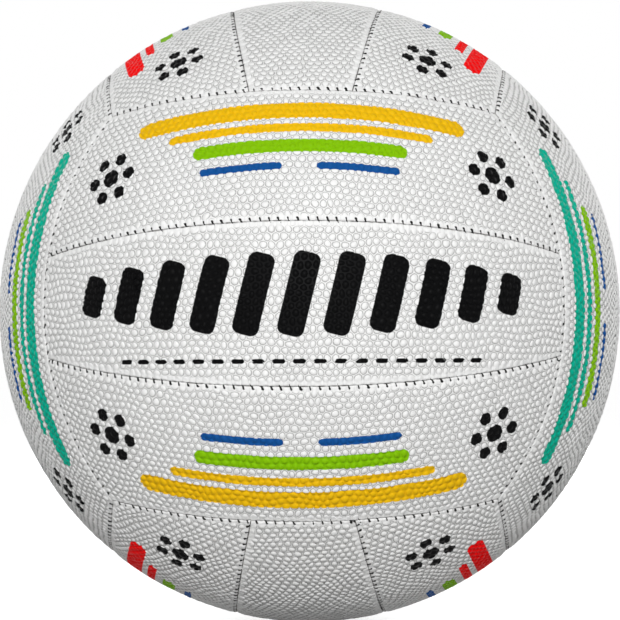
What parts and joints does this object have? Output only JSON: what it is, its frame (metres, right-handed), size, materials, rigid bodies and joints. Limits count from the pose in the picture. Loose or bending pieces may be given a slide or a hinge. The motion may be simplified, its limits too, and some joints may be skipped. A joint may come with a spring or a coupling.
{
  "type": "netball",
  "caption": "Stitched ball of rubber strips laid out like a cube's faces, backed with cloth, round a bladder with a self-sealing inflation valve.",
  "frame": {"origin": "centre of the ball", "axes": "+Z out through the inflation valve, -Y out through the middle of the front face, +X along the front face's strips"},
  "size_m": [0.2228, 0.2228, 0.2227],
  "materials": {
    "cover_rubber": "matt, pimpled grip",
    "backing_cloth": "woven cotton",
    "waxed_cord": "waxed thread",
    "bladder_rubber": "smooth",
    "valve_rubber": "smooth",
    "core_rubber": "smooth",
    "patch_rubber": "smooth"
  },
  "bodies": {
    "root": {"front_lower_panel": "cover_rubber", "front_middle_panel": "cover_rubber", "front_upper_panel": "cover_rubber", "back_lower_panel": "cover_rubber", "back_middle_panel": "cover_rubber", "back_upper_panel": "cover_rubber", "right_front_panel": "cover_rubber", "right_middle_panel": "cover_rubber", "right_rear_panel": "cover_rubber", "left_front_panel": "cover_rubber", "left_middle_panel": "cover_rubber", "left_rear_panel": "cover_rubber", "top_right_panel": "cover_rubber", "top_middle_panel": "cover_rubber", "top_left_panel": "cover_rubber", "bottom_left_panel": "cover_rubber", "bottom_middle_panel": "cover_rubber", "bottom_right_panel": "cover_rubber", "front_lower_backing": "backing_cloth", "front_middle_backing": "backing_cloth", "front_upper_backing": "backing_cloth", "back_lower_backing": "backing_cloth", "back_middle_backing": "backing_cloth", "back_upper_backing": "backing_cloth", "right_front_backing": "backing_cloth", "right_middle_backing": "backing_cloth", "right_rear_backing": "backing_cloth", "left_front_backing": "backing_cloth", "left_middle_backing": "backing_cloth", "left_rear_backing": "backing_cloth", "top_right_backing": "backing_cloth", "top_middle_backing": "backing_cloth", "top_left_backing": "backing_cloth", "bottom_left_backing": "backing_cloth", "bottom_middle_backing": "backing_cloth", "bottom_right_backing": "backing_cloth", "front_lower_edge_cord": "waxed_cord", "front_upper_edge_cord": "waxed_cord", "back_lower_edge_cord": "waxed_cord", "back_upper_edge_cord": "waxed_cord", "right_front_edge_cord": "waxed_cord", "right_rear_edge_cord": "waxed_cord", "left_front_edge_cord": "waxed_cord", "left_rear_edge_cord": "waxed_cord", "top_right_edge_cord": "waxed_cord", "top_left_edge_cord": "waxed_cord", "bottom_left_edge_cord": "waxed_cord", "bottom_right_edge_cord": "waxed_cord", "front_strip_cords": "waxed_cord", "back_strip_cords": "waxed_cord", "right_strip_cords": "waxed_cord", "left_strip_cords": "waxed_cord", "top_strip_cords": "waxed_cord", "bottom_strip_cords": "waxed_cord", "bladder": "bladder_rubber", "valve_body": "valve_rubber", "valve_core": "core_rubber", "valve_patch": "patch_rubber", "balance_patch": "patch_rubber"}
  },
  "joints": []
}
